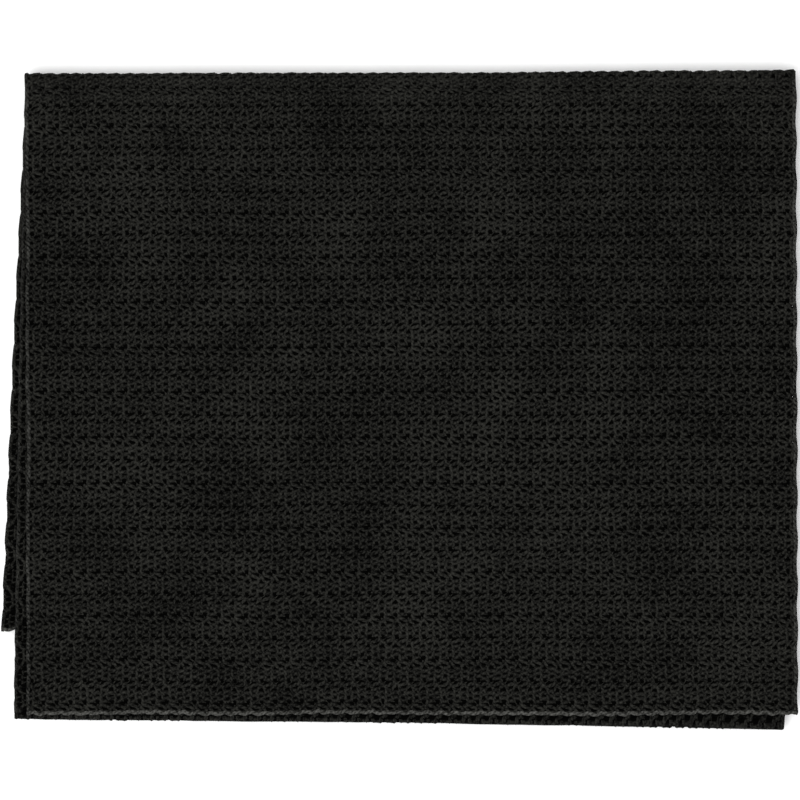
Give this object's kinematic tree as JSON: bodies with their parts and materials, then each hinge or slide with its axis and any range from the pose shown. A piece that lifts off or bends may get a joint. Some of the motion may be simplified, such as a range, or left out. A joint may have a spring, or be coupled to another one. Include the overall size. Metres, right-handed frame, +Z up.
{
  "type": "knitted neckcloth",
  "caption": "Square-ended dress neckcloth in black openwork knit, a long strip folded to and fro into a flat stack with free ends at the front and the back.",
  "frame": {"origin": "under the middle of the folded stack's outline, on the surface that it lies on", "axes": "+X along the folds to the right, +Y up the panels towards the two top folds, +Z up through the layers"},
  "size_m": [0.3094, 0.2548, 0.0089],
  "materials": {
    "knit": "smooth matt black yarn in an openwork knit of zigzag rows",
    "fold": "the same black knit, bent round a soft fold",
    "edge_chain": "a chain of black edge stitches that catches the light"
  },
  "bodies": {
    "back_body": {"back_panel": "knit", "cast_on_edge": "edge_chain", "top_back_fold": "fold"},
    "third_body": {"third_panel": "knit", "bottom_fold": "fold"},
    "second_body": {"second_panel": "knit", "top_front_fold": "fold"},
    "front_body": {"front_panel": "knit", "cast_off_edge": "edge_chain"}
  },
  "joints": [
    {"name": "unfold_back", "type": "hinge", "parent": "back_body", "child": "third_body", "pos_m": [0.00405, 0.12525, 0.00445], "axis": [-1, 0, 0], "range_deg": [0, 179.98], "deforming": ["top_back_fold"]},
    {"name": "unfold_middle", "type": "hinge", "parent": "third_body", "child": "second_body", "pos_m": [0.00045, -0.1235, 0.00445], "axis": [0.9999, -0.0117, 0], "range_deg": [0, 179.98], "deforming": ["bottom_fold"]},
    {"name": "unfold_front", "type": "hinge", "parent": "second_body", "child": "front_body", "pos_m": [0.00405, 0.12525, 0.00675], "axis": [-1, 0, 0], "range_deg": [0, 179.98], "deforming": ["top_front_fold"]}
  ]
}
